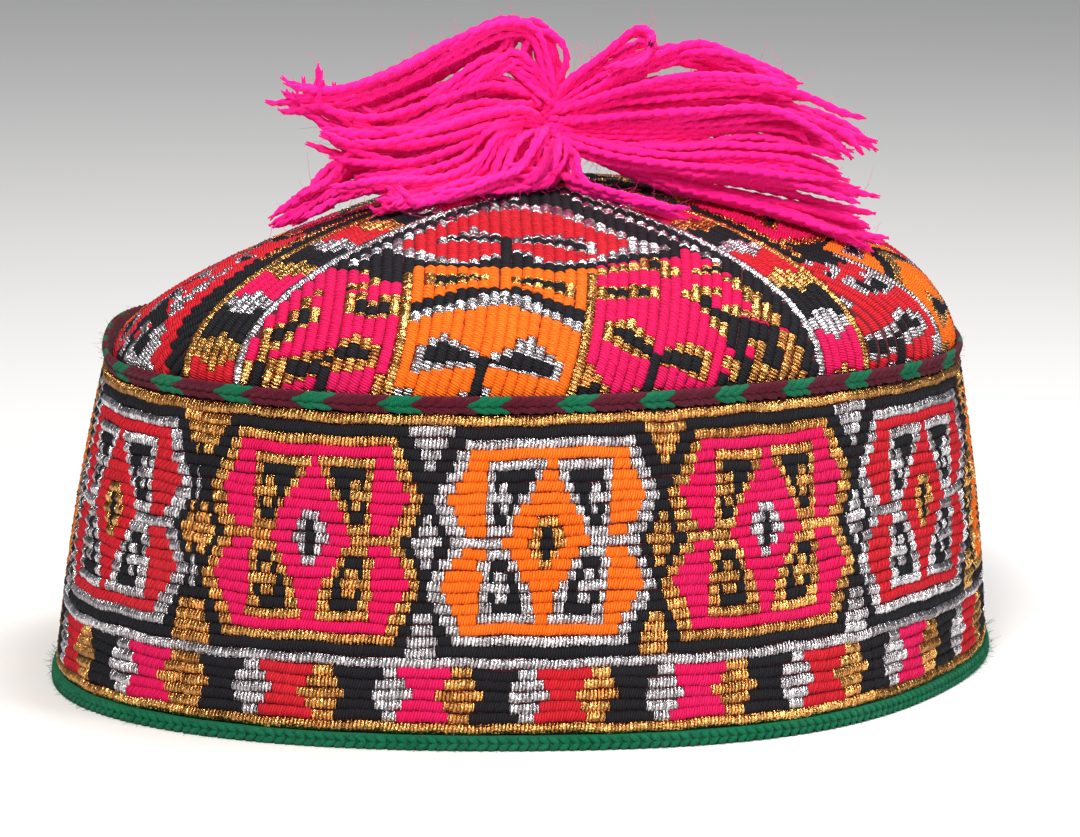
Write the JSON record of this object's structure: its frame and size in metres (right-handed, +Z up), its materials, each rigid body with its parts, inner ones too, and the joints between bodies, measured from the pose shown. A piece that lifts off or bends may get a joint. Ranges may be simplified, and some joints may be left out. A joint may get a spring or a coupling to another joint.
{
  "type": "embroidered skullcap",
  "caption": "Round embroidered skullcap with an upright flared band, a soft domed crown of gores and strips, a braided rim and a wool yarn tassel; worn on the head.",
  "frame": {"origin": "middle of the cap on the surface it stands on", "axes": "+Z up, the front gore faces -Y, +X to the right as seen from the front"},
  "size_m": [0.1974, 0.181, 0.134],
  "materials": {
    "rim_wool": "matt plaited green wool",
    "band_embroidery": "padded cloth under cords of silk and metal thread",
    "braid_wool": "plaited green and maroon wool",
    "pink_gore_embroidery": "padded cloth under cords of silk and metal thread, mostly pink and orange",
    "red_gore_embroidery": "padded cloth under cords of silk and metal thread, mostly red and orange",
    "strip_embroidery": "padded cloth under cords in black, metal thread, red and pink blocks",
    "tassel_wool": "fuzzy twisted pink wool yarn"
  },
  "bodies": {
    "root": {"rim_binding": "rim_wool", "side_band": "band_embroidery", "seam_braid": "braid_wool", "crown_gore_front": "pink_gore_embroidery", "crown_gore_right": "red_gore_embroidery", "crown_gore_back": "pink_gore_embroidery", "crown_gore_left": "red_gore_embroidery", "crown_strip_front_right": "strip_embroidery", "crown_strip_right_back": "strip_embroidery", "crown_strip_back_left": "strip_embroidery", "crown_strip_left_front": "strip_embroidery", "tassel": "tassel_wool"}
  },
  "joints": []
}
